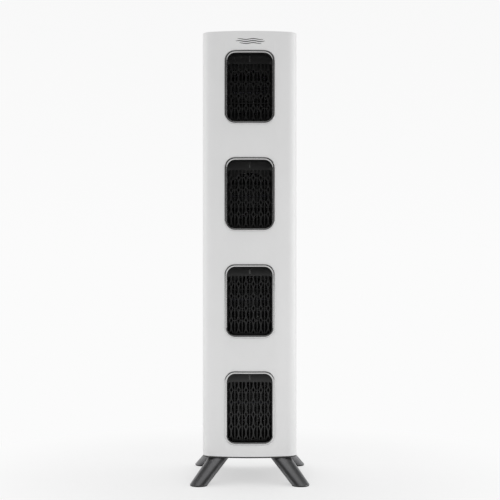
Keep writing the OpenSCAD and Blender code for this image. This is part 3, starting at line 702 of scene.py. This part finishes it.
dressed("rear_door", white, "shell_white", edge=0.4)
plated = finish("strike_steel", 0.6, metal=1.0, group=brushed, spread=0.08, low=0.24, high=0.36,
                squeeze=(900.0, 900.0, 30.0))
for node in ("door_strikes", "hinge_leaves", "hinge_pins"):
    dressed(node, plated, "strike_steel", edge=0.25)
ferrite = finish("magnet_black", 0.03, spread=0.25, low=0.5, high=0.7, depth=0.3, grain=1600.0)
dressed("door_magnets", ferrite, "magnet_black", edge=0.5)

# ---------- base plate ----------
# Dark painted plate that closes the bottom of the shell and takes the legs' screws.
# Pressed steel with a satin powder coat, its skirt standing inside the shell.

powder = finish("base_dark", 0.045, spread=0.1, low=0.42, high=0.55, depth=0.25, grain=1300.0)
dressed("base_plate", powder, "base_dark", edge=0.4)

# ---------- legs ----------
# Four splayed round legs, leaning out to their corners, with rubber pads under them.
# Cast alloy, brushed lengthways and finished in dark nickel; one long screw in each.

nickel = finish("leg_metal", (0.235, 0.235, 0.24), metal=1.0, group=brushed, spread=0.14, low=0.28, high=0.36,
                squeeze=(700.0, 700.0, 10.0), depth=0.14)
rubber = finish("pad_rubber", 0.018, spread=0.15, low=0.7, high=0.85, depth=0.4, grain=1200.0)
leg_top_r, leg_foot_r, rim_edge = 23.5, 20.5, 0.8
for side in ("front_left", "front_right", "rear_left", "rear_right"):
    low, high = box_mm("leg_" + side)
    sx, sy = (-1 if "left" in side else 1), (-1 if "front" in side else 1)
    reach = [sorted((abs(low[i]), abs(high[i]))) for i in (0, 1)]
    foot = Vector((sx * (reach[0][1] - leg_foot_r), sy * (reach[1][1] - leg_foot_r)))
    top = Vector((sx * (reach[0][0] + leg_top_r), sy * (reach[1][0] + leg_top_r)))
    bm = bmesh.new()
    bmesh.ops.create_cone(bm, cap_ends=True, segments=96, radius1=leg_foot_r * 0.001,
                          radius2=leg_top_r * 0.001, depth=(high.z - low.z) * 0.001)
    rings = [e for e in bm.edges if abs(e.verts[0].co.z - e.verts[1].co.z) < 1e-6 and e.calc_length() < 0.01]
    bmesh.ops.bevel(bm, geom=rings, offset=rim_edge * 0.001, offset_type="OFFSET", affect="EDGES", segments=4,
                    profile=0.5, material=-1)
    middle = (low.z + high.z) / 2
    for v in bm.verts:
        t = (v.co.z * 1000 + middle - low.z) / (high.z - low.z)
        lean = foot.lerp(top, t)
        v.co += mm(lean.x, lean.y, middle)
    fit(solid(f"{side}_leg", bm, nickel), "leg_" + side, slot="leg_metal")
dressed("foot_pads", rubber, "pad_rubber", edge=0.5)
dressed("leg_screws", steel, "fastener_steel", edge=0.3)

# ---------- electrics ----------
# Mains inlet with a tilting rocker at the lower back, the supply box and the loom above it.
# Flame-retardant nylon, brass pins, galvanised steel case and a braided sleeve.

socket_black = finish("inlet_black", 0.012, spread=0.15, low=0.35, high=0.45, depth=0.15)
brass = finish("pin_brass", (0.78, 0.57, 0.24), metal=1.0, group=brushed, spread=0.08, low=0.2, high=0.3,
               squeeze=(900.0, 30.0, 900.0))
rocker_black = finish("rocker_black", 0.02, spread=0.1, low=0.18, high=0.26, depth=0.03, coat=0.2)
galvanised = finish("supply_steel", (0.6, 0.61, 0.62), metal=1.0, spread=0.2, low=0.3, high=0.5, depth=0.05,
                    grain=120.0)
sensor_green = finish("sensor_plastic", (0.03, 0.05, 0.045), spread=0.12, low=0.4, high=0.5, depth=0.15)
board_green = finish("board_green", (0.012, 0.11, 0.045), spread=0.2, low=0.28, high=0.4, depth=0.1,
                     grain=900.0, coat=0.3)
dressed("power_inlet", socket_black, "inlet_black", edge=0.4, segments=3)
dressed("inlet_pins", brass, "pin_brass", edge=0.3)
dressed("power_rocker", rocker_black, "rocker_black", edge=0.35)
dressed("power_supply", galvanised, "supply_steel", edge=0.5)
dressed("air_sensor", sensor_green, "sensor_plastic", edge=0.4)
dressed("control_board", board_green, "board_green", edge=0.2)

sleeve = bpy.data.materials.new("loom_sleeve")
add = nodes_of(sleeve)
place = add("ShaderNodeTexCoord")
one = add("ShaderNodeTexWave", {"bands_direction": "DIAGONAL"}, Vector=place.outputs["Object"], Scale=240.0)
flip = add("ShaderNodeVectorMath", {"operation": "MULTIPLY"}, i0=place.outputs["Object"], i1=(-1.0, 1.0, 1.0))
other = add("ShaderNodeTexWave", {"bands_direction": "DIAGONAL"}, Vector=flip.outputs[0], Scale=240.0)
braid = add("ShaderNodeMath", {"operation": "MULTIPLY"}, i0=one.outputs["Fac"], i1=other.outputs["Fac"])
tone = add("ShaderNodeValToRGB", i0=braid.outputs[0])
tint = ramp(tone, (0.1, 0.01), (0.9, 0.06))
weave = add("ShaderNodeBump", Strength=0.6, Distance=0.0005, Height=braid.outputs[0])
yarn = add("ShaderNodeBsdfPrincipled", Base_Color=tint, Roughness=0.7, Normal=weave.outputs[0])
add("ShaderNodeOutputMaterial", Surface=yarn.outputs[0])
dressed("wiring_loom", sleeve, "loom_sleeve", edge=0.8, segments=3)
